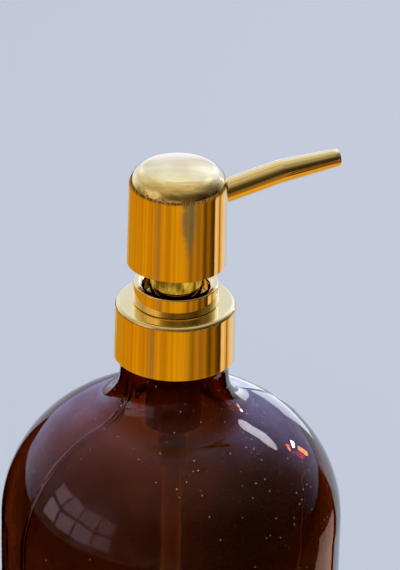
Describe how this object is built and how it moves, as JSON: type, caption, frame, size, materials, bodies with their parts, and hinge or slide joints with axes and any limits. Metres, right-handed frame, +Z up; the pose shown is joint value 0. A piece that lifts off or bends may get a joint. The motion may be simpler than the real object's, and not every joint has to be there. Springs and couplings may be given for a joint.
{
  "type": "soap pump dispenser",
  "caption": "Round amber glass bottle with a gold screw-on lotion pump: pressing the swivelling head draws soap up a dip tube and out of the angled spout.",
  "frame": {"origin": "centre of the ring that the bottle stands on, in the plane of the table", "axes": "+Z up along the bottle's axis, +X the way the spout points at rest"},
  "size_m": [0.0943, 0.0936, 0.2497],
  "materials": {
    "amber_glass": "glossy dark amber glass",
    "gold_aluminium": "polished gold anodised",
    "gold_steel": "polished steel tube, gold coated",
    "white_plastic": "moulded polypropylene",
    "seal_plastic": "soft moulded polyethylene",
    "tube_plastic": "translucent extruded polyethylene",
    "seal_rubber": "foamed gasket",
    "spring_steel": "drawn stainless wire",
    "ball_steel": "ground stainless ball"
  },
  "bodies": {
    "bottle": {"bottle": "amber_glass"},
    "pump_body": {"pump_housing": "white_plastic", "neck_gasket": "seal_rubber", "lock_ring": "gold_aluminium", "stem_guide": "white_plastic", "dip_tube": "tube_plastic", "inlet_ball_cage": "white_plastic", "return_spring": "spring_steel"},
    "closure": {"closure_core": "white_plastic", "closure_shell": "gold_aluminium"},
    "plunger": {"piston": "seal_plastic"},
    "head": {"piston_rod": "white_plastic", "piston_retainer": "white_plastic", "stem_sleeve": "gold_aluminium", "head_core": "white_plastic", "head_shell": "gold_aluminium", "spout_tube": "gold_steel", "spout_liner": "tube_plastic"},
    "inlet_valve": {"inlet_ball": "ball_steel"},
    "outlet_valve": {"outlet_ball": "ball_steel"}
  },
  "joints": [
    {"name": "pump_lift", "type": "slide", "parent": "bottle", "child": "pump_body", "axis": [0, 0, 1], "range_m": [0, 0.00634]},
    {"name": "closure_turn", "type": "hinge", "parent": "pump_body", "child": "closure", "pos_m": [0, 0, 0.2], "axis": [0, 0, 1], "range_deg": [0, 540]},
    {"name": "head_press", "type": "slide", "parent": "pump_body", "child": "plunger", "axis": [0, 0, -1], "range_m": [0, 0.0118], "stiffness_N_per_m": 900, "springref_m": -0.012, "deforming": ["return_spring"]},
    {"name": "head_swivel", "type": "hinge", "parent": "plunger", "child": "head", "pos_m": [0, 0, 0.23], "axis": [0, 0, 1], "continuous": true},
    {"name": "inlet_ball_lift", "type": "slide", "parent": "pump_body", "child": "inlet_valve", "axis": [0, 0, 1], "range_m": [0, 0.0013]},
    {"name": "outlet_ball_lift", "type": "slide", "parent": "head", "child": "outlet_valve", "axis": [0, 0, 1], "range_m": [0, 0.0014]}
  ],
  "couplings": [
    {"joint": "closure_turn", "follows": "pump_lift", "rad_per_m": 1484.3}
  ]
}
